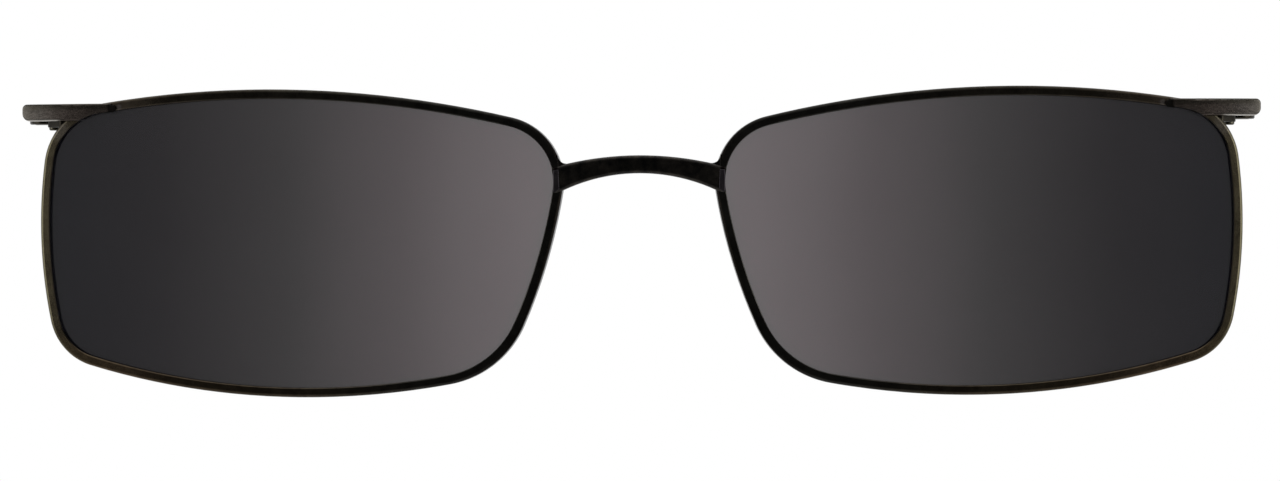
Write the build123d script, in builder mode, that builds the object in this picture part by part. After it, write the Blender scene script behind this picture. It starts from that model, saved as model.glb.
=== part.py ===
"""Magnetic clip-on sunglasses: two tinted lenses in slim metal rims, joined by one bridge.

Each temple corner carries a short flat bar.  Behind the bar a small arm reaches back and holds a
disc magnet, face down, that grips the top of the spectacles worn underneath.

+Z is up as worn, the front faces -Y, and X = 0 is the plane of symmetry.  Z = 0 is the middle of
the lens height, and Y = 0 is the middle of the whole depth.  "right" is the +X side.
All dimensions are millimetres.
"""

import os
from math import cos, radians, sin, sqrt

from build123d import *

# Lens shape: the rim's outer outline, seen along the lens axis.  The first coordinate runs from the
# nose to the temple and the second runs up.  Four bulging sides meet at four rounded corners.
NASAL_TOP = (-27.55, 11.17)
TEMPLE_TOP = (25.74, 13.45)
TEMPLE_BOTTOM = (25.14, -11.33)
NASAL_BOTTOM = (-20.56, -13.35)
CORNERS = (NASAL_TOP, TEMPLE_TOP, TEMPLE_BOTTOM, NASAL_BOTTOM)
CORNER_RADII = (6.8, 6.7, 6.0, 10.2)
SIDE_BULGES = (3.28, 1.5, 3.28, 1.5)

# Lens position and curve
LENS_CENTRE_X = 34.9
LENS_FRONT_Y = -4.75
LENS_WRAP = radians(5.0)
LENS_FRONT_RADIUS = 130.75
LENS_THICKNESS = 1.0
BEVEL_DEPTH = 0.4
PRISM_REACH = 12.0

# Rim section
RIM_WIDTH = 0.95
RIM_PROUD = 0.45
RIM_DEPTH = 1.7
RIM_OUTER_ROUND = 0.35
RIM_INNER_CHAMFER = 0.08
GROOVE_CLEARANCE = 0.03
GROOVE_OVERSIZE = 0.3

# Saw cut that opens the rim at the temple corner, so that the lens can be changed
SLIT_BOTTOM_Z = 12.66
SLIT_TOP_Z = 12.8
SLIT_INNER_X = 50.0
SLIT_OUTER_X = 59.7

# Bridge: an arched bar that laps over the front of both rims as far as the lenses
BRIDGE_TOP_Z = 8.77
BRIDGE_BOTTOM_Z = 6.94
BRIDGE_TOP_RADIUS = 33.5
BRIDGE_BOTTOM_RADIUS = 18.4
BRIDGE_ARCH_X = 8.1
BRIDGE_END_X = 9.4
BRIDGE_END_BOTTOM_Z = 4.9
BRIDGE_MIDDLE_SETBACK = -1.1
BRIDGE_END_SETBACK = 0.1
BRIDGE_DEPTH = 1.45
BRIDGE_ROUND = 0.4

# Front bar of the end piece
BAR_INNER_X = 54.05
BAR_MIDDLE_X = 58.6
BAR_TIP_X = 63.5
BAR_INNER_SETBACK = 3.12
BAR_MIDDLE_SETBACK = 4.15
BAR_TIP_SETBACK = 5.75
BAR_THICKNESS = 1.0
BAR_TOP_Z = 14.37
BAR_BOTTOM_Z = 12.63
BAR_TIP_TOP_ROUND = 0.5
BAR_TIP_BOTTOM_ROUND = 0.8
BAR_EDGE_ROUND = 0.22

# Rim lock: two brazed blocks drawn together by a vertical screw
SCREW_X = 60.3
SCREW_SETBACK = 6.75
SCREW_SHANK_RADIUS = 0.38
SCREW_HEAD_RADIUS = 0.55
SCREW_HEAD_BOTTOM_Z = 11.7
SCREW_HEAD_HEIGHT = 0.42
SCREW_HEAD_DOME = 0.18
SCREW_TOP_Z = 13.35
SCREW_SLOT_WIDTH = 0.2
SCREW_SLOT_DEPTH = 0.2
SCREW_TIP_CHAMFER = 0.12
LOCK_RADIUS = 0.68
LOCK_FOOT_RADIUS = 0.35
LOCK_FRONT_FOOT = (59.35, 5.25)
LOCK_UPPER_FOOT = (57.95, 6.05)
LOCK_LOWER_FOOT = (59.25, 6.35)
LOCK_PARTING_Z = 12.73
LOCK_BOTTOM_Z = 12.0
LOCK_BOTTOM_ROUND = 0.12
LOCK_HEAD_CLEARANCE = 0.06
LOCK_SHANK_CLEARANCE = 0.04

# Magnet arm, cup and magnet
MAGNET_X = 61.4
MAGNET_SETBACK = 9.0
ARM_WIDTH = 3.5
ARM_INNER_SETBACK = 4.95
ARM_OUTER_SETBACK = 6.05
ARM_BOTTOM_Z = 13.5
ARM_THICKNESS = 0.7
ARM_EDGE_ROUND = 0.2
CUP_RADIUS = 1.7
CUP_BOTTOM_Z = 12.36
CUP_EDGE_CHAMFER = 0.1
MAGNET_RADIUS = 1.2
MAGNET_THICKNESS = 0.8
MAGNET_PROUD = 0.05
MAGNET_EDGE_CHAMFER = 0.08

LENS_PLANE = Plane(
    origin=(LENS_CENTRE_X, LENS_FRONT_Y, 0),
    x_dir=(cos(LENS_WRAP), sin(LENS_WRAP), 0),
    z_dir=(sin(LENS_WRAP), -cos(LENS_WRAP), 0),
)
CURVE_CENTRE = LENS_PLANE.offset(-LENS_FRONT_RADIUS).origin
RIM_FRONT_RADIUS = LENS_FRONT_RADIUS + RIM_PROUD
RIM_BACK_RADIUS = RIM_FRONT_RADIUS - RIM_DEPTH
SCREW_HEAD_TOP_Z = SCREW_HEAD_BOTTOM_Z + SCREW_HEAD_HEIGHT
MAGNET_BOTTOM_Z = CUP_BOTTOM_Z - MAGNET_PROUD


def set_back(x, setback):
    """A point at x that lies the given distance behind the front of the lens centre."""
    return (x, LENS_FRONT_Y + setback)


def arch_drop(radius, half_span):
    """How far an arch has fallen at the given distance from its middle."""
    return radius - sqrt(radius**2 - half_span**2)


def side_circle(start, end, bulge):
    """Centre and radius of the circle whose arc runs clockwise between two corners."""
    chord = Vector(*end) - Vector(*start)
    radius = chord.length**2 / (8 * bulge) + bulge / 2
    inward = chord.rotate(Axis.Z, -90).normalized()
    return (Vector(*start) + Vector(*end)) / 2 + inward * (radius - bulge), radius


def rim_outline(inset):
    """The rim's outer outline on the lens plane, drawn in by the given distance."""
    with BuildSketch(LENS_PLANE) as outline:
        for start, end, bulge in zip(CORNERS, CORNERS[1:] + CORNERS[:1], SIDE_BULGES):
            centre, radius = side_circle(start, end, bulge)
            with Locations(centre):
                Circle(radius - inset, mode=Mode.INTERSECT if outline.faces() else Mode.ADD)
        for corner, radius in zip(CORNERS, CORNER_RADII):
            fillet(outline.vertices().sort_by_distance(corner)[0], radius - inset)
    return outline.sketch


def lock_outline(z, feet):
    """Plan of a rim-lock block: a round boss about the screw, spread out to the given feet."""
    with BuildSketch(Plane.XY.offset(z)) as outline:
        with Locations(set_back(SCREW_X, SCREW_SETBACK)):
            Circle(LOCK_RADIUS)
        with Locations([set_back(*foot) for foot in feet]):
            Circle(LOCK_FOOT_RADIUS)
        make_hull()
    return outline.sketch


# Cutters shared by several pieces: the lens opening, the saw cut and the space of a whole rim
with BuildPart() as lens_opening:
    extrude(rim_outline(RIM_WIDTH), amount=PRISM_REACH, both=True)

with BuildPart() as slit:
    with BuildSketch(Plane.XY.offset(SLIT_BOTTOM_Z)):
        with Locations(((SLIT_INNER_X + SLIT_OUTER_X) / 2, 0)):
            Rectangle(SLIT_OUTER_X - SLIT_INNER_X, 2 * PRISM_REACH)
    extrude(amount=SLIT_TOP_Z - SLIT_BOTTOM_Z)

with BuildPart() as rim_space:
    extrude(rim_outline(0), amount=PRISM_REACH, both=True)
    with Locations(CURVE_CENTRE):
        Sphere(RIM_FRONT_RADIUS, mode=Mode.INTERSECT)
        Sphere(RIM_BACK_RADIUS, mode=Mode.SUBTRACT)
    fillet(rim_space.faces().filter_by(GeomType.SPHERE).edges(), RIM_OUTER_ROUND)

# Right lens: a spherical meniscus with a V-shaped bevel round its edge
with BuildPart() as lens_right:
    extrude(rim_outline(RIM_WIDTH - BEVEL_DEPTH), amount=PRISM_REACH, both=True)
    with Locations(CURVE_CENTRE):
        Sphere(LENS_FRONT_RADIUS, mode=Mode.INTERSECT)
        Sphere(LENS_FRONT_RADIUS - LENS_THICKNESS, mode=Mode.SUBTRACT)
    chamfer(lens_right.faces().filter_by(GeomType.SPHERE).edges(), length=BEVEL_DEPTH)

# Right rim: a band that follows the lens curve, grooved for the bevel and sawn at the lock
with BuildPart() as groove:
    extrude(
        rim_outline(RIM_WIDTH - BEVEL_DEPTH - GROOVE_CLEARANCE), amount=PRISM_REACH, both=True
    )
    with Locations(CURVE_CENTRE):
        Sphere(LENS_FRONT_RADIUS + GROOVE_OVERSIZE / 2, mode=Mode.INTERSECT)
        Sphere(LENS_FRONT_RADIUS - LENS_THICKNESS - GROOVE_OVERSIZE / 2, mode=Mode.SUBTRACT)
    chamfer(
        groove.faces().filter_by(GeomType.SPHERE).edges(),
        length=BEVEL_DEPTH + GROOVE_OVERSIZE / 2 - GROOVE_CLEARANCE,
    )

with BuildPart() as rim_right:
    add(rim_space.part)
    add(lens_opening.part, mode=Mode.SUBTRACT)
    opening_edges = ShapeList()
    for face in rim_right.faces().filter_by(GeomType.SPHERE):
        opening_edges += face.inner_wires().edges()
    chamfer(opening_edges, length=RIM_INNER_CHAMFER)
    for cutter in (groove, slit):
        add(cutter.part, mode=Mode.SUBTRACT)

# Bridge
with BuildPart() as bridge:
    with BuildSketch(Plane.XZ):
        with BuildLine():
            arch_end_z = BRIDGE_TOP_Z - arch_drop(BRIDGE_TOP_RADIUS, BRIDGE_END_X)
            arch_foot_z = BRIDGE_BOTTOM_Z - arch_drop(BRIDGE_BOTTOM_RADIUS, BRIDGE_ARCH_X)
            ThreePointArc((-BRIDGE_END_X, arch_end_z), (0, BRIDGE_TOP_Z), (BRIDGE_END_X, arch_end_z))
            ThreePointArc(
                (-BRIDGE_ARCH_X, arch_foot_z), (0, BRIDGE_BOTTOM_Z), (BRIDGE_ARCH_X, arch_foot_z)
            )
            for side in (-1, 1):
                Polyline(
                    (side * BRIDGE_ARCH_X, arch_foot_z),
                    (side * BRIDGE_END_X, BRIDGE_END_BOTTOM_Z),
                    (side * BRIDGE_END_X, arch_end_z),
                )
        make_face()
    extrude(amount=PRISM_REACH, both=True)
    with BuildSketch(Plane.XY):
        with BuildLine():
            front_arc = ThreePointArc(
                set_back(-BRIDGE_END_X, BRIDGE_END_SETBACK),
                set_back(0, BRIDGE_MIDDLE_SETBACK),
                set_back(BRIDGE_END_X, BRIDGE_END_SETBACK),
            )
            back_arc = ThreePointArc(
                set_back(-BRIDGE_END_X, BRIDGE_END_SETBACK + BRIDGE_DEPTH),
                set_back(0, BRIDGE_MIDDLE_SETBACK + BRIDGE_DEPTH),
                set_back(BRIDGE_END_X, BRIDGE_END_SETBACK + BRIDGE_DEPTH),
            )
            Line(front_arc @ 0, back_arc @ 0)
            Line(front_arc @ 1, back_arc @ 1)
        make_face()
    extrude(amount=PRISM_REACH, mode=Mode.INTERSECT)
    long_edges = bridge.edges().filter_by(lambda edge: edge.length > BRIDGE_ARCH_X)
    fillet(long_edges, BRIDGE_ROUND)
    for cutter in (lens_opening.part, rim_space.part):
        add(cutter, mode=Mode.SUBTRACT)
        mirror(cutter, about=Plane.YZ, mode=Mode.SUBTRACT)

# Right end piece: a short bar that follows the rim's curve and laps over its corner
with BuildPart() as end_piece_right:
    with BuildSketch(Plane.XY.offset(BAR_BOTTOM_Z)):
        with BuildLine():
            front_arc = ThreePointArc(
                set_back(BAR_INNER_X, BAR_INNER_SETBACK),
                set_back(BAR_MIDDLE_X, BAR_MIDDLE_SETBACK),
                set_back(BAR_TIP_X, BAR_TIP_SETBACK),
            )
            back_arc = ThreePointArc(
                set_back(BAR_INNER_X, BAR_INNER_SETBACK + BAR_THICKNESS),
                set_back(BAR_MIDDLE_X, BAR_MIDDLE_SETBACK + BAR_THICKNESS),
                set_back(BAR_TIP_X, BAR_TIP_SETBACK + BAR_THICKNESS),
            )
            Line(front_arc @ 0, back_arc @ 0)
            Line(front_arc @ 1, back_arc @ 1)
        make_face()
    extrude(amount=BAR_TOP_Z - BAR_BOTTOM_Z)
    tip_edges = end_piece_right.faces().sort_by(Axis.X)[-1].edges().filter_by(Axis.Y)
    fillet(tip_edges.sort_by(Axis.Z)[-1], BAR_TIP_TOP_ROUND)
    tip_edges = end_piece_right.faces().sort_by(Axis.X)[-1].edges().filter_by(Axis.Y)
    fillet(tip_edges.sort_by(Axis.Z)[0], BAR_TIP_BOTTOM_ROUND)
    front_face = end_piece_right.faces().sort_by(SortBy.AREA)[-2:].sort_by(Axis.Y)[0]
    fillet(front_face.edges(), BAR_EDGE_ROUND)
    for cutter in (lens_opening, rim_space):
        add(cutter.part, mode=Mode.SUBTRACT)

# Right rim lock
with BuildPart() as rim_lock_screw_right:
    with Locations((*set_back(SCREW_X, SCREW_SETBACK), SCREW_HEAD_BOTTOM_Z)):
        Cylinder(
            SCREW_HEAD_RADIUS, SCREW_HEAD_HEIGHT, align=(Align.CENTER, Align.CENTER, Align.MIN)
        )
    fillet(rim_lock_screw_right.edges().sort_by(Axis.Z)[0], SCREW_HEAD_DOME)
    with BuildSketch(Plane.XY.offset(SCREW_HEAD_TOP_Z)):
        with Locations(set_back(SCREW_X, SCREW_SETBACK)):
            Circle(SCREW_SHANK_RADIUS)
    extrude(amount=SCREW_TOP_Z - SCREW_HEAD_TOP_Z)
    chamfer(rim_lock_screw_right.faces().sort_by(Axis.Z)[-1].edges(), length=SCREW_TIP_CHAMFER)
    with BuildSketch(Plane.XY.offset(SCREW_HEAD_BOTTOM_Z)):
        with Locations(set_back(SCREW_X, SCREW_SETBACK)):
            Rectangle(3 * SCREW_HEAD_RADIUS, SCREW_SLOT_WIDTH)
    extrude(amount=SCREW_SLOT_DEPTH, mode=Mode.SUBTRACT)

with BuildPart() as rim_lock_upper_right:
    extrude(
        lock_outline(LOCK_PARTING_Z, (LOCK_UPPER_FOOT,)), amount=ARM_BOTTOM_Z - LOCK_PARTING_Z
    )
    for cutter in (rim_space, end_piece_right, slit, rim_lock_screw_right):
        add(cutter.part, mode=Mode.SUBTRACT)

with BuildPart() as rim_lock_lower_right:
    extrude(
        lock_outline(LOCK_BOTTOM_Z, (LOCK_FRONT_FOOT, LOCK_LOWER_FOOT)),
        amount=LOCK_PARTING_Z - LOCK_BOTTOM_Z,
    )
    fillet(rim_lock_lower_right.faces().sort_by(Axis.Z)[0].edges(), LOCK_BOTTOM_ROUND)
    screw_bores = (
        (SCREW_SHANK_RADIUS + LOCK_SHANK_CLEARANCE, LOCK_PARTING_Z),
        (SCREW_HEAD_RADIUS + LOCK_HEAD_CLEARANCE, SCREW_HEAD_TOP_Z),
    )
    for bore_radius, bore_top in screw_bores:
        with BuildSketch(Plane.XY.offset(LOCK_BOTTOM_Z)):
            with Locations(set_back(SCREW_X, SCREW_SETBACK)):
                Circle(bore_radius)
        extrude(amount=bore_top - LOCK_BOTTOM_Z, mode=Mode.SUBTRACT)
    for cutter in (rim_space, end_piece_right, slit):
        add(cutter.part, mode=Mode.SUBTRACT)

# Right magnet with its cup and arm
with BuildPart() as magnet_right:
    with BuildSketch(Plane.XY.offset(MAGNET_BOTTOM_Z)):
        with Locations(set_back(MAGNET_X, MAGNET_SETBACK)):
            Circle(MAGNET_RADIUS)
    extrude(amount=MAGNET_THICKNESS)
    chamfer(magnet_right.edges().sort_by(Axis.Z)[0], length=MAGNET_EDGE_CHAMFER)

with BuildPart() as magnet_cup_right:
    with BuildSketch(Plane.XY.offset(CUP_BOTTOM_Z)):
        with Locations(set_back(MAGNET_X, MAGNET_SETBACK)):
            Circle(CUP_RADIUS)
    extrude(amount=ARM_BOTTOM_Z - CUP_BOTTOM_Z)
    chamfer(magnet_cup_right.edges().sort_by(Axis.Z)[0], length=CUP_EDGE_CHAMFER)
    with BuildSketch(Plane.XY.offset(CUP_BOTTOM_Z)):
        with Locations(set_back(MAGNET_X, MAGNET_SETBACK)):
            Circle(MAGNET_RADIUS)
    extrude(amount=MAGNET_THICKNESS - MAGNET_PROUD, mode=Mode.SUBTRACT)

with BuildPart() as magnet_arm_right:
    with BuildSketch(Plane.XY.offset(ARM_BOTTOM_Z)):
        with Locations(set_back(MAGNET_X, MAGNET_SETBACK)):
            Circle(ARM_WIDTH / 2)
        with BuildLine():
            Polyline(
                set_back(MAGNET_X - ARM_WIDTH / 2, ARM_INNER_SETBACK),
                set_back(MAGNET_X + ARM_WIDTH / 2, ARM_OUTER_SETBACK),
                set_back(MAGNET_X + ARM_WIDTH / 2, MAGNET_SETBACK),
                set_back(MAGNET_X - ARM_WIDTH / 2, MAGNET_SETBACK),
                close=True,
            )
        make_face()
    extrude(amount=ARM_THICKNESS)
    fillet(magnet_arm_right.faces().sort_by(Axis.Z)[-1].edges(), ARM_EDGE_ROUND)
    add(end_piece_right.part, mode=Mode.SUBTRACT)

right_pieces = {
    "lens": lens_right,
    "rim": rim_right,
    "end_piece": end_piece_right,
    "rim_lock_upper": rim_lock_upper_right,
    "rim_lock_lower": rim_lock_lower_right,
    "rim_lock_screw": rim_lock_screw_right,
    "magnet_arm": magnet_arm_right,
    "magnet_cup": magnet_cup_right,
    "magnet": magnet_right,
}

os.makedirs("parts", exist_ok=True)
bridge.part.label = "bridge"
export_step(bridge.part, "parts/bridge.step")
for name, right_piece in right_pieces.items():
    with BuildPart() as left_piece:
        mirror(right_piece.part, about=Plane.YZ)
    for side, piece in (("left", left_piece), ("right", right_piece)):
        piece.part.label = f"{name}_{side}"
        export_step(piece.part, f"parts/{name}_{side}.step")
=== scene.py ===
"""Clip-on sunglasses: finishes, brazed joints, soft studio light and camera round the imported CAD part."""

import math

import bmesh
import bpy
from mathutils import Matrix, Vector


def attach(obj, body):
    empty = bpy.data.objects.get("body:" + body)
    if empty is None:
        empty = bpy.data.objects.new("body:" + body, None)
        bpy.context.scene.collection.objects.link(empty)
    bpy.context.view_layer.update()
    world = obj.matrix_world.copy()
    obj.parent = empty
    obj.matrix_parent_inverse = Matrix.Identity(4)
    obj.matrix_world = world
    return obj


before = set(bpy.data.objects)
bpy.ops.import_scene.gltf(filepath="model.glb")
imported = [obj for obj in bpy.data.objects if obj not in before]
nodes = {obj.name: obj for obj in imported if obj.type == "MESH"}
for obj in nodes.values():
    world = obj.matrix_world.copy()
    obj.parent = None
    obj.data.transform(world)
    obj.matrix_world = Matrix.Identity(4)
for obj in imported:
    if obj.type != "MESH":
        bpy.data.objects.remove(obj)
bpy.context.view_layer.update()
MM = 0.001
X, Y, Z = 0, 1, 2


# ---------------------------------------------------------------- node helpers
def new_material(name):
    """An empty node material with its output node."""
    material = bpy.data.materials.new(name)
    material.use_nodes = True
    material.node_tree.nodes.clear()
    output = material.node_tree.nodes.new("ShaderNodeOutputMaterial")
    return material, material.node_tree, output


def find_input(node, key):
    """The node's input by its number, as in i0, or by its name, with _ for a space."""
    if key[0] == "i" and key[1:].isdigit():
        return node.inputs[int(key[1:])]
    return node.inputs[key.replace("_", " ")]


def add(tree, kind, settings=None, **inputs):
    """A node of that kind, with its settings and the values or links of its inputs."""
    node = tree.nodes.new(kind)
    for key, value in (settings or {}).items():
        setattr(node, key, value)
    for key, value in inputs.items():
        socket = find_input(node, key)
        if isinstance(value, bpy.types.NodeSocket):
            tree.links.new(value, socket)
        else:
            socket.default_value = value
    return node


def finish_with(material, tree, output, **inputs):
    """The material, closed by a Principled shader with those inputs."""
    shader = add(tree, "ShaderNodeBsdfPrincipled", **inputs)
    tree.links.new(shader.outputs[0], output.inputs["Surface"])
    return material


def place_in(tree):
    """The point on the piece, in metres."""
    return add(tree, "ShaderNodeTexCoord").outputs["Object"]


def normal_in(tree):
    """The direction that the surface faces."""
    return add(tree, "ShaderNodeNewGeometry").outputs["Normal"]


def split(tree, vector):
    """The three parts of a vector."""
    return add(tree, "ShaderNodeSeparateXYZ", i0=vector).outputs


def ramp(tree, factor, stops):
    """A colour ramp through (position, colour) stops."""
    node = add(tree, "ShaderNodeValToRGB", i0=factor)
    elements = node.color_ramp.elements
    while len(elements) < len(stops):
        elements.new(1.0)
    for element, (position, colour) in zip(elements, stops):
        element.position = position
        element.color = (*colour, 1.0)
    return node.outputs["Color"]


def grey_ramp(tree, factor, stops):
    """A ramp through (position, level) stops."""
    return ramp(tree, factor, [(position, (level,) * 3) for position, level in stops])


def noise(tree, place, size, detail=3.0, roughness=0.55, distortion=0.0):
    """Noise whose features are about size metres wide."""
    return add(
        tree, "ShaderNodeTexNoise", Vector=place, Scale=1.0 / size, Detail=detail,
        Roughness=roughness, Distortion=distortion,
    ).outputs["Fac"]


def stretch(tree, place, scale, turn=0.0):
    """The place scaled along X, Y and Z, then turned about Y."""
    return add(
        tree, "ShaderNodeMapping", Vector=place, Rotation=(0.0, turn, 0.0), Scale=scale
    ).outputs[0]


def map_range(tree, value, low, high, to_low, to_high, smooth=False):
    """The value carried from the range low to high into to_low to to_high, and held at its ends."""
    settings = {"interpolation_type": "SMOOTHSTEP"} if smooth else {}
    return add(
        tree, "ShaderNodeMapRange", settings, i0=value, i1=low, i2=high, i3=to_low, i4=to_high
    ).outputs[0]


def fade(tree, value, start, full, share=1.0):
    """0 up to start, rising smoothly to share at full. With full below start it rises the other way."""
    return map_range(tree, value, start, full, 0.0, share, smooth=True)


def maths(tree, operation, a, b=0.0):
    """One step of arithmetic."""
    return add(tree, "ShaderNodeMath", {"operation": operation}, i0=a, i1=b).outputs[0]


def times(tree, a, b):
    """The product of two numbers."""
    return maths(tree, "MULTIPLY", a, b)


def vector_maths(tree, operation, **inputs):
    """One step of vector arithmetic."""
    return add(tree, "ShaderNodeVectorMath", {"operation": operation}, **inputs).outputs


def blend_colour(tree, factor, a, b, mode="MIX"):
    """Colour a with b laid over it by the factor."""
    settings = {"data_type": "RGBA", "blend_type": mode}
    return add(tree, "ShaderNodeMix", settings, i0=factor, i6=a, i7=b).outputs[2]


def bump(tree, height, strength, depth):
    """The surface's direction, tilted by a relief that is depth metres deep."""
    return add(tree, "ShaderNodeBump", Strength=strength, Distance=depth, Height=height).outputs[0]


# ---------------------------------------------------------------- plated metal
GRADE_REACH = 64.0
GRADE_HEADROOM = 2.0

MOTTLE_SIZE = 0.9 * MM
CLOUD_SIZE = 6.0 * MM
SATIN_SIZE = 0.10 * MM
BRUSHED_SIZE = 0.35 * MM
STREAK_SIZE = 0.45 * MM
CHIP_SIZE = 0.25 * MM
SATIN_DEPTH = 0.004 * MM
SATIN_SPREAD = 0.07
EDGE_WIDTH = 0.10 * MM
EDGE_SAMPLES = 6

LOW_RUN_TOP = -7.0 * MM
LOW_RUN_FULL = -12.0 * MM
LOW_RUN_INNER = 20.0 * MM
LOW_RUN_OUTER = 36.0 * MM
TEMPLE_START = 54.0 * MM
TEMPLE_FULL = 59.5 * MM
INNER_SHADE = (0.005, 0.004, 0.003)
INNER_SHADE_SHARE = 0.92
FLECK_CORE = 0.4

# Where the shading stripes begin and how softly they do, in mm, as the stripes themselves are.
BAND_LEAD_IN = 0.5
BAND_LEAD_OUT = 0.3
BAR_X = 50.0
NECK_X = 59.7


def paint_light_grade(tree, colour, from_middle, stops):
    """Painted light and shade: the colour multiplied by the stops (mm from the middle, multiplier)."""
    reach = map_range(tree, from_middle, 0.0, GRADE_REACH * MM, 0.0, 1.0)
    shares = [
        (start / GRADE_REACH, tuple(channel / GRADE_HEADROOM for channel in tint)) for start, tint in stops
    ]
    shade = ramp(tree, reach, shares)
    shade = vector_maths(tree, "SCALE", Vector=shade, Scale=GRADE_HEADROOM)[0]
    return blend_colour(tree, 1.0, colour, shade, "MULTIPLY")


def draw_streaks(tree, colour, place, depth):
    """Fine darker and lighter lines along X."""
    drawn = stretch(tree, place, (0.12, 3.0, 3.0))
    grain = noise(tree, drawn, STREAK_SIZE, detail=4.0)
    line = map_range(tree, grain, 0.40, 0.60, 1.0 - depth, 1.0 + depth)
    return vector_maths(tree, "SCALE", Vector=colour, Scale=line)[0]


def wear_and_highlight_edges(tree, colour, place, edge_wear_and_highlight, share):
    """Wear in small chips along the sharp outer edges; where its colour is light it is a painted highlight
    too.
    """
    rounded = add(tree, "ShaderNodeBevel", {"samples": EDGE_SAMPLES}, Radius=EDGE_WIDTH).outputs["Normal"]
    agree = vector_maths(tree, "DOT_PRODUCT", i0=rounded, i1=normal_in(tree))["Value"]
    edge = map_range(tree, agree, 0.985, 0.80, 0.0, 1.0)
    chips = map_range(tree, noise(tree, place, CHIP_SIZE, detail=4.0), 0.42, 0.62, 0.0, 1.0)
    wear = times(tree, times(tree, edge, chips), share)
    return blend_colour(tree, wear, colour, (*edge_wear_and_highlight, 1.0))


def paint_light_low_run(tree, colour, from_middle, height, tint):
    """Painted light: the lower, outer run of a rim made lighter by a tint, as if lit from below."""
    lower = fade(tree, height, LOW_RUN_TOP, LOW_RUN_FULL)
    outer = fade(tree, from_middle, LOW_RUN_INNER, LOW_RUN_OUTER)
    return blend_colour(tree, times(tree, lower, outer), colour, (*tint, 1.0), "MULTIPLY")


def paint_side_light_and_shade(tree, colour, across, from_middle, tint, share):
    """Painted light on the faces that look out at the temples, and painted shade on all those that look
    inwards.
    """
    normal_x = split(tree, normal_in(tree))[X]
    looks_out = times(tree, normal_x, maths(tree, "SIGN", across))
    lit_side = fade(tree, looks_out, 0.15, 0.75, share)
    near_temple = fade(tree, from_middle, TEMPLE_START, TEMPLE_FULL)
    colour = blend_colour(tree, times(tree, lit_side, near_temple), colour, (*tint, 1.0))
    shaded_side = fade(tree, looks_out, -0.10, -0.45, INNER_SHADE_SHARE)
    return blend_colour(tree, shaded_side, colour, (*INNER_SHADE, 1.0))


def paint_shading_band(tree, colour, parts, from_middle, mottle, axis, start, full, tint, share, begin=BAR_X):
    """A stripe of painted shading fading in along an axis from start to full mm, beyond begin mm from the
    middle.
    """
    along = maths(tree, "ABSOLUTE", parts[axis])
    band = fade(tree, along, start * MM, full * MM, share)
    reach = fade(tree, from_middle, (begin - BAND_LEAD_IN) * MM, (begin + BAND_LEAD_OUT) * MM)
    band = times(tree, band, reach)
    broken = map_range(tree, mottle, 0.30, 0.50, 0.75, 1.0)
    return blend_colour(tree, times(tree, band, broken), colour, (*tint, 1.0))


def paint_shading_spot(tree, colour, parts, from_middle, x, z, radius, tint, share):
    """A soft round spot of painted shading at (x, z) mm on both halves."""
    flat = add(tree, "ShaderNodeCombineXYZ", i0=from_middle, i1=0.0, i2=parts[Z]).outputs[0]
    apart = vector_maths(tree, "DISTANCE", i0=flat, i1=(x * MM, 0.0, z * MM))["Value"]
    spot = fade(tree, apart, radius * MM, FLECK_CORE * radius * MM, share)
    return blend_colour(tree, spot, colour, (*tint, 1.0))


def plated_metal(
    name, deep, light, edge_wear_and_highlight, base_roughness, edge_mark_share=0.55, relief=0.22,
    light_grade_stops=(), streaks=0.0, low_side_light=None, outward_light=None, shading_bands=(), shading_spots=(),
):
    """Dark plated metal: mottled tone, fine satin grain, faint wear and painted highlight along the edges.

    light_grade_stops, streaks, low_side_light, outward_light, shading_bands and shading_spots are what
    paint_light_grade, draw_streaks, paint_light_low_run, paint_side_light_and_shade, paint_shading_band
    and paint_shading_spot lay over the tone; all but the streaks are painted light and shade.
    """
    material, tree, output = new_material(name)
    place = place_in(tree)
    parts = split(tree, place)
    from_middle = maths(tree, "ABSOLUTE", parts[X])
    mottle = noise(tree, place, MOTTLE_SIZE, detail=4.0)
    cloud = noise(tree, place, CLOUD_SIZE, detail=2.0)
    tone = maths(tree, "ADD", times(tree, mottle, 0.65), times(tree, cloud, 0.35))
    colour = ramp(tree, tone, [(0.36, deep), (0.64, light)])
    if light_grade_stops:
        colour = paint_light_grade(tree, colour, from_middle, light_grade_stops)
    if streaks:
        colour = draw_streaks(tree, colour, place, streaks)
    colour = wear_and_highlight_edges(tree, colour, place, edge_wear_and_highlight, edge_mark_share)
    if low_side_light:
        colour = paint_light_low_run(tree, colour, from_middle, parts[Z], low_side_light)
    if outward_light:
        colour = paint_side_light_and_shade(tree, colour, parts[X], from_middle, **outward_light)
    for band in shading_bands:
        colour = paint_shading_band(tree, colour, parts, from_middle, mottle, **band)
    for fleck in shading_spots:
        colour = paint_shading_spot(tree, colour, parts, from_middle, **fleck)
    satin = noise(tree, place, SATIN_SIZE, detail=3.0)
    rough = map_range(
        tree, satin, 0.25, 0.75, base_roughness - SATIN_SPREAD, base_roughness + SATIN_SPREAD
    )
    rough = maths(tree, "ADD", rough, map_range(tree, cloud, 0.3, 0.7, -0.03, 0.04))
    brushed = noise(tree, stretch(tree, place, (1.0, 5.0, 5.0)), BRUSHED_SIZE, detail=4.0)
    height = maths(tree, "ADD", times(tree, satin, 0.6), times(tree, brushed, 0.4))
    return finish_with(
        material, tree, output,
        Base_Color=colour, Metallic=1.0, Roughness=rough, Normal=bump(tree, height, relief, SATIN_DEPTH),
    )


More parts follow.
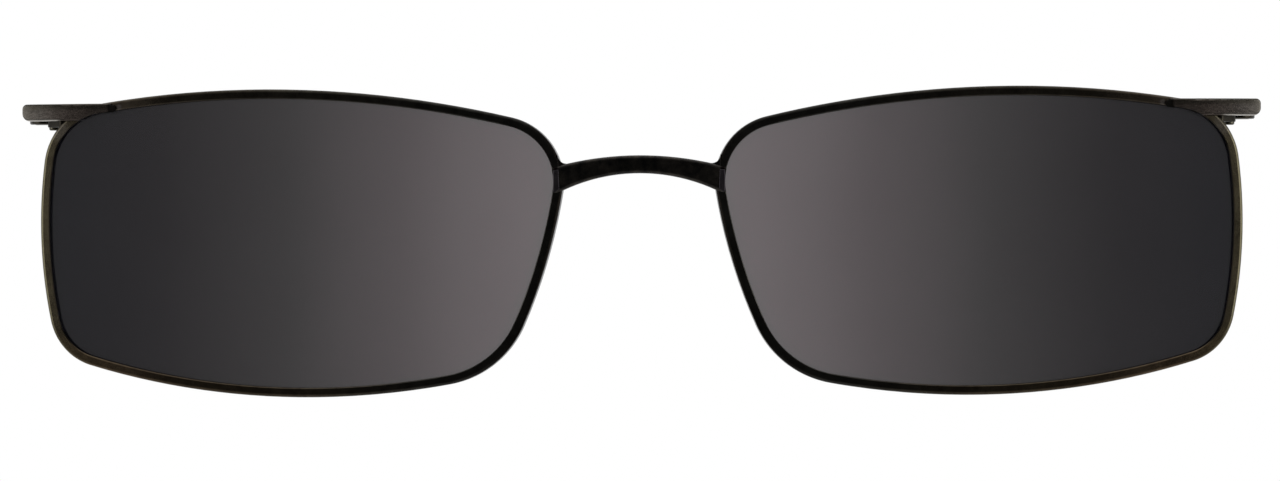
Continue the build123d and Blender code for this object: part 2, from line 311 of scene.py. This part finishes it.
RIM_METAL = plated_metal(
    "rim_plating", (0.019, 0.017, 0.014), (0.034, 0.031, 0.025), (0.07, 0.063, 0.052), 0.28,
    edge_mark_share=0.4,
    # Painted light: the rims lighter towards the temples, a little bluer near the nose.
    light_grade_stops=[
        (0.0, (0.92, 0.98, 1.10)),
        (20.0, (0.92, 0.97, 1.05)),
        (40.0, (1.05, 1.0, 0.94)),
        (47.0, (1.25, 1.15, 1.05)),
        (53.0, (1.75, 1.55, 1.42)),
        (59.0, (1.75, 1.58, 1.30)),
        (64.0, (1.6, 1.5, 1.1)),
    ],
    # Painted light: the lower, outer run of each rim lighter, as if lit from below.
    low_side_light=(1.55, 1.40, 1.22),
    # Painted light on the faces that look out near the temples.
    outward_light={"tint": (0.108, 0.099, 0.062), "share": 0.72},
    shading_spots=[
        # Painted highlight: a light spot on the rim just inboard of the bar's seam.
        {"x": 53.3, "z": 14.0, "radius": 0.4, "tint": (0.10, 0.088, 0.082), "share": 0.8},
        # Painted light: a lighter patch on the rim's neck below the bar.
        {"x": 59.6, "z": 11.7, "radius": 1.4, "tint": (0.075, 0.066, 0.054), "share": 0.7},
    ],
)
BRIDGE_METAL = plated_metal(
    "bridge_plating", (0.011, 0.011, 0.011), (0.042, 0.037, 0.031), (0.09, 0.088, 0.086), 0.30,
    edge_mark_share=0.35,
    # Painted shade: a near-black spot above each bridge end, where the bridge meets the rim.
    shading_spots=[{"x": 8.50, "z": 7.46, "radius": 0.34, "tint": (0.002, 0.001, 0.001), "share": 0.95}],
)
PAD_METAL = plated_metal(
    "bridge_end_plating", (0.030, 0.026, 0.030), (0.050, 0.045, 0.050), (0.08, 0.074, 0.080), 0.32,
    edge_mark_share=0.3,
)
BAR_METAL = plated_metal(
    # The bar's light edge colour makes its edge chips partly a painted highlight.
    "bar_plating", (0.052, 0.046, 0.041), (0.064, 0.057, 0.051), (0.26, 0.24, 0.22), 0.26,
    relief=0.12,
    streaks=0.25,
    # Painted light and shade: the bar lighter near its inner end, darker towards the tip.
    light_grade_stops=[
        (0.0, (1.0, 1.0, 1.0)),
        (54.0, (1.45, 1.32, 1.30)),
        (58.0, (1.40, 1.28, 1.24)),
        (61.5, (1.0, 1.0, 1.0)),
        (64.0, (0.85, 0.87, 0.84)),
    ],
    shading_bands=[
        # Painted shade: the bar's face darker towards its top edge.
        {"axis": Z, "start": 13.55, "full": 14.05, "tint": (0.034, 0.031, 0.024), "share": 0.75},
        # Painted light: the bar's tip lighter.
        {"axis": X, "start": 62.3, "full": 63.5, "tint": (0.10, 0.093, 0.08), "share": 0.5},
        # Painted highlight: a bright line along the bar's lower edge, outboard of the neck.
        {"axis": Z, "start": 12.86, "full": 12.70, "tint": (0.42, 0.40, 0.37), "share": 0.9, "begin": NECK_X},
        # Painted shade: a near-black stripe at the bar's inner end, where it meets the rim.
        {"axis": X, "start": 54.6, "full": 54.25, "tint": (0.004, 0.0035, 0.003), "share": 0.95},
    ],
)
# Painted shade: near-black plating for the plate at the bar's seam, in place of the shadow there.
NOTCH_METAL = plated_metal(
    "seam_shade", (0.003, 0.003, 0.0025), (0.010, 0.009, 0.008), (0.03, 0.028, 0.026), 0.45,
    relief=0.5,
)
LOCK_METAL = plated_metal(
    "lock_plating", (0.015, 0.013, 0.010), (0.027, 0.024, 0.018), (0.10, 0.092, 0.07), 0.34,
)


# ---------------------------------------------------------------- screws and magnets
GRIME_SIZE = 0.5 * MM
GRIME_DARKNESS = 0.55
DULL_SIZE = 0.12 * MM
GRAIN_SIZE = 0.06 * MM
GRAIN_DEPTH = 0.003 * MM


def small_metal(name, colour, roughness):
    """Metal of the small fittings: a fine even grain and a little grime."""
    material, tree, output = new_material(name)
    place = place_in(tree)
    grimy = tuple(channel * GRIME_DARKNESS for channel in colour)
    tint = ramp(tree, noise(tree, place, GRIME_SIZE, detail=4.0), [(0.35, grimy), (0.6, colour)])
    rough = map_range(tree, noise(tree, place, DULL_SIZE), 0.3, 0.7, roughness - 0.06, roughness + 0.10)
    grain = noise(tree, place, GRAIN_SIZE, detail=2.0)
    return finish_with(
        material, tree, output,
        Base_Color=tint, Metallic=1.0, Roughness=rough, Normal=bump(tree, grain, 0.25, GRAIN_DEPTH),
    )


SCREW = small_metal("screw_steel_turned", (0.085, 0.078, 0.058), 0.30)
MAGNET = small_metal("magnet_black_nickel", (0.20, 0.19, 0.175), 0.18)


# ---------------------------------------------------------------- lenses
LENS_INNER = 8.0 * MM
LENS_OUTER = 62.0 * MM
LENS_INDEX = 1.5
HAZE_SIZE = 14.0 * MM
HAZE_DEPTH = 0.004
SMUDGE_SIZE = 5.0 * MM
SMUDGE_DEPTH = 0.01 * MM
WIPE_SIZE = 3.0 * MM
WIPE_TURN = 0.5

# How much light the lens stops, inner edge (0) to outer (1): smoke tint plus painted shade to the temple.
TINT_AND_SHADE_STOPS = [
    (0.00, 0.640), (0.075, 0.654), (0.187, 0.685), (0.30, 0.732), (0.413, 0.765),
    (0.526, 0.808), (0.64, 0.839), (0.753, 0.870), (0.92, 0.890), (1.0, 0.895),
]
# Lens colour, inner to outer edge: painted shade over the smoke tint, mauve at the nose to near-black.
LENS_TINT_AND_SHADE = [(0.0, (0.045, 0.014, 0.024)), (0.5, (0.012, 0.008, 0.010)), (1.0, (0.006, 0.006, 0.009))]


def tinted_lens(name):
    """Smoke-tinted lens with painted shade: clearer towards the nose, near-opaque towards the temple."""
    material, tree, output = new_material(name)
    place = place_in(tree)
    from_middle = maths(tree, "ABSOLUTE", split(tree, place)[X])
    span = map_range(tree, from_middle, LENS_INNER, LENS_OUTER, 0.0, 1.0)
    haze = map_range(tree, noise(tree, place, HAZE_SIZE, detail=2.0), 0.3, 0.7, -HAZE_DEPTH, HAZE_DEPTH)
    alpha = maths(tree, "ADD", grey_ramp(tree, span, TINT_AND_SHADE_STOPS), haze)
    smudge = noise(tree, place, SMUDGE_SIZE, detail=5.0, roughness=0.6, distortion=0.4)
    wiped = stretch(tree, place, (1.0, 1.0, 14.0), WIPE_TURN)
    hairline = map_range(tree, noise(tree, wiped, WIPE_SIZE, detail=6.0), 0.68, 0.74, 0.0, 0.05)
    rough = maths(tree, "ADD", map_range(tree, smudge, 0.35, 0.75, 0.035, 0.075), hairline)
    return finish_with(
        material, tree, output,
        Base_Color=ramp(tree, span, LENS_TINT_AND_SHADE), Roughness=rough, IOR=LENS_INDEX, Alpha=alpha,
        Normal=bump(tree, smudge, 0.03, SMUDGE_DEPTH),
    )


LENS = tinted_lens("smoke_lens")

# A node takes the first finish whose word its name starts with.
FINISHES = {
    "lens": LENS,
    "rim_lock_screw": SCREW,
    "rim_lock": LOCK_METAL,
    "rim": RIM_METAL,
    "magnet_cup": LOCK_METAL,
    "magnet_arm": RIM_METAL,
    "magnet": MAGNET,
    "bridge": BRIDGE_METAL,
    "end_piece": BAR_METAL,
}

for name, node in nodes.items():
    finish = next(look for start, look in FINISHES.items() if name.startswith(start))
    for material_slot in node.material_slots:
        material_slot.material = finish


# ---------------------------------------------------------------- soldered joints and painted seam shade
BEVEL_STEPS = 3
FILLET_STEPS = 8
FILLET_HOLLOW = 0.70


def plate(name, outline, front, back, bevel, finish, side):
    """A closed plate from an (x, z) outline in mm; front and back give y in mm at an (x, z) point."""
    if side < 0:
        outline = [(-x, z) for x, z in reversed(outline)]
    count = len(outline)
    points = [(x * MM, front(x, z) * MM, z * MM) for x, z in outline]
    points += [(x * MM, back(x, z) * MM, z * MM) for x, z in outline]
    faces = [list(range(count)), list(range(2 * count - 1, count - 1, -1))]
    faces += [[k, k + count, (k + 1) % count + count, (k + 1) % count] for k in range(count)]
    mesh = bpy.data.meshes.new(name)
    mesh.from_pydata(points, [], faces)
    work = bmesh.new()
    work.from_mesh(mesh)
    bmesh.ops.recalc_face_normals(work, faces=work.faces)
    front_edges = [edge for edge in work.edges if all(vertex.index < count for vertex in edge.verts)]
    bmesh.ops.bevel(
        work, geom=front_edges, offset=bevel * MM, segments=BEVEL_STEPS,
        affect="EDGES", profile=0.5, clamp_overlap=True,
    )
    bmesh.ops.triangulate(work, faces=work.faces)
    work.to_mesh(mesh)
    work.free()
    for polygon in mesh.polygons:
        polygon.use_smooth = False
    mesh.materials.append(finish)
    piece = bpy.data.objects.new(name, mesh)
    bpy.context.scene.collection.objects.link(piece)
    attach(piece, "root")


def hollow_curve(corner, first, second):
    """Outline of a concave solder fillet: the corner, then a hollow curve from first to second."""
    pull = [
        (1 - FILLET_HOLLOW) * (a + b) / 2 + FILLET_HOLLOW * c for a, b, c in zip(first, second, corner)
    ]
    curve = []
    for k in range(FILLET_STEPS + 1):
        t = k / FILLET_STEPS
        curve.append(tuple(
            (1 - t) ** 2 * a + 2 * t * (1 - t) * p + t ** 2 * b for a, p, b in zip(first, pull, second)
        ))
    return [corner, *curve]


# The bar's seam: a near-black plate of painted shade where the bar's inner end meets the rim.
SEAM_OUTLINE = [
    (53.55, 13.72), (53.80, 13.50), (54.45, 13.42), (54.80, 13.62),
    (54.84, 14.02), (54.40, 14.22), (53.75, 14.20),
]
SEAM_X = 54.05
SEAM_FRONT_Y = -1.64
SEAM_SWEEP = 0.226
SEAM_DEPTH = 0.4
SEAM_BEVEL = 0.05

# The bridge's ends: thin pads that stand proud of its bowed front.
BRIDGE_BOW = 37.4
BRIDGE_CREST_Y = -5.85
PAD_OUTLINE = [(8.12, 5.35), (8.60, 5.02), (8.74, 5.12), (8.72, 7.28), (8.20, 7.34)]
PAD_PROUD = 0.09
PAD_SUNK = 0.15
PAD_BEVEL = 0.05

# The bridge's fillets: hollow corners of solder above and below each end.
FILLET_OUTLINES = {
    "top": hollow_curve((8.25, 7.35), (8.30, 8.85), (6.85, 8.05)),
    "bottom": hollow_curve((8.35, 5.45), (6.90, 5.62), (8.45, 4.15)),
}
FILLET_FRONT_Y = -4.62
FILLET_BACK_Y = -3.55
FILLET_BEVEL = 0.12


def bridge_front(x):
    """y of the bridge's bowed front."""
    return BRIDGE_CREST_Y + BRIDGE_BOW - math.sqrt(BRIDGE_BOW ** 2 - x ** 2)


for side, tag in ((1, "right"), (-1, "left")):
    plate(
        f"bar_seam_shade_{tag}",
        SEAM_OUTLINE,
        lambda x, z: SEAM_FRONT_Y + SEAM_SWEEP * (abs(x) - SEAM_X),
        lambda x, z: SEAM_FRONT_Y + SEAM_DEPTH,
        SEAM_BEVEL, NOTCH_METAL, side,
    )
    plate(
        f"bridge_end_{tag}",
        PAD_OUTLINE,
        lambda x, z: bridge_front(x) - PAD_PROUD,
        lambda x, z: bridge_front(x) + PAD_SUNK,
        PAD_BEVEL, PAD_METAL, side,
    )
    for where, outline in FILLET_OUTLINES.items():
        plate(
            f"bridge_solder_{where}_{tag}",
            outline,
            lambda x, z: FILLET_FRONT_Y,
            lambda x, z: FILLET_BACK_Y,
            FILLET_BEVEL, BRIDGE_METAL, side,
        )


# ---------------------------------------------------------------- floor
FLOOR_Z = -0.085
FLOOR_RADIUS = 1.3
FLOOR_SIDES = 96
FIBRE_SIZE = 2.0 * MM


def matt_floor(name):
    """Plain pale paper with the faintest fibre."""
    material, tree, output = new_material(name)
    fibre = noise(tree, place_in(tree), FIBRE_SIZE, detail=3.0)
    colour = grey_ramp(tree, fibre, [(0.3, 0.80), (0.7, 0.83)])
    return finish_with(material, tree, output, Base_Color=colour, Roughness=0.9)


def floor_point(k):
    """Corner k of the floor."""
    angle = 2 * math.pi * k / FLOOR_SIDES
    return FLOOR_RADIUS * math.cos(angle), FLOOR_RADIUS * math.sin(angle), FLOOR_Z


floor_mesh = bpy.data.meshes.new("floor")
floor_mesh.from_pydata([floor_point(k) for k in range(FLOOR_SIDES)], [], [list(range(FLOOR_SIDES))])
floor_mesh.materials.append(matt_floor("floor_paper"))
floor = bpy.data.objects.new("floor", floor_mesh)
bpy.context.scene.collection.objects.link(floor)
floor.visible_glossy = False


# ---------------------------------------------------------------- light
# Brightness of the studio round the part, from straight in front (0) to straight behind (1).
STUDIO_STOPS = [(0.0, 0.10), (0.08, 0.12), (0.25, 0.25), (0.5, 0.75), (1.0, 1.0)]
OVERHEAD_GREY = (0.9, 0.9, 0.9, 1.0)
# Behind the part the camera sees plain white.
BACKDROP = (1.0, 1.0, 1.0, 1.0)

world = bpy.data.worlds.new("studio")
bpy.context.scene.world = world
world.use_nodes = True
tree = world.node_tree
tree.nodes.clear()
direction = split(tree, add(tree, "ShaderNodeTexCoord").outputs["Generated"])
behind = map_range(tree, direction[Y], -1.0, 1.0, 0.0, 1.0)
around = grey_ramp(tree, behind, STUDIO_STOPS)
overhead = fade(tree, maths(tree, "ABSOLUTE", direction[Z]), 0.45, 0.95)
sky = blend_colour(tree, overhead, around, OVERHEAD_GREY)
seen = add(tree, "ShaderNodeLightPath").outputs["Is Camera Ray"]
lit = blend_colour(tree, seen, sky, BACKDROP)
background = add(tree, "ShaderNodeBackground", Color=lit, Strength=1.0)
output = add(tree, "ShaderNodeOutputWorld")
tree.links.new(background.outputs[0], output.inputs["Surface"])

MIDDLE = Vector((0.0, 0.0, 0.0))
SIDE_BOX_X = 0.95
SIDE_BOX_Y = -0.42
SIDE_BOX_Z = 0.10
SIDE_BOX_SIZE = (0.7, 0.7)
OVER_BOX_PLACE = (0.0, 0.10, 1.0)
OVER_BOX_SIZE = (1.2, 0.8)


def softbox(name, place, size, power):
    """A rectangular light that faces the middle of the part, hidden from the camera but not from gloss."""
    light = bpy.data.lights.new(name, "AREA")
    light.shape = "RECTANGLE"
    light.size, light.size_y = size
    light.energy = power
    holder = bpy.data.objects.new(name, light)
    holder.location = place
    holder.rotation_euler = (MIDDLE - Vector(place)).to_track_quat("-Z", "Y").to_euler()
    holder.visible_camera = False
    bpy.context.scene.collection.objects.link(holder)


softbox("softbox_over", OVER_BOX_PLACE, OVER_BOX_SIZE, 3.0)
softbox("softbox_left", (-SIDE_BOX_X, SIDE_BOX_Y, SIDE_BOX_Z), SIDE_BOX_SIZE, 4.5)
softbox("softbox_right", (SIDE_BOX_X, SIDE_BOX_Y, SIDE_BOX_Z), SIDE_BOX_SIZE, 5.5)


# ---------------------------------------------------------------- camera
# The yaw and the roll are in radians, and the aim is a little off the middle of the part.
CAMERA_DISTANCE = 0.600
CAMERA_YAW = 0.02326
CAMERA_ROLL = 0.00441
AIM_Y = -4.75 * MM
AIM_RIGHT = 0.06 * MM
AIM_UP = 0.122 * MM
FOCAL_LENGTH = 166.22
SENSOR_WIDTH = 36.0

level_right = Vector((math.cos(CAMERA_YAW), math.sin(CAMERA_YAW), 0.0))
forward = Vector((-math.sin(CAMERA_YAW), math.cos(CAMERA_YAW), 0.0))
upright = Vector((0.0, 0.0, 1.0))
right = math.cos(CAMERA_ROLL) * level_right - math.sin(CAMERA_ROLL) * upright
up = math.sin(CAMERA_ROLL) * level_right + math.cos(CAMERA_ROLL) * upright
camera_data = bpy.data.cameras.new("camera")
camera_data.lens = FOCAL_LENGTH
camera_data.sensor_width = SENSOR_WIDTH
camera_data.clip_start = 0.01
camera_data.clip_end = 100.0
camera = bpy.data.objects.new("camera", camera_data)
spot = Vector((0.0, AIM_Y, 0.0)) - CAMERA_DISTANCE * forward + AIM_RIGHT * right + AIM_UP * up
camera.matrix_world = Matrix.Translation(spot) @ Matrix((right, up, -forward)).transposed().to_4x4()
bpy.context.scene.collection.objects.link(camera)
bpy.context.scene.camera = camera
bpy.context.scene.view_settings.view_transform = "Standard"
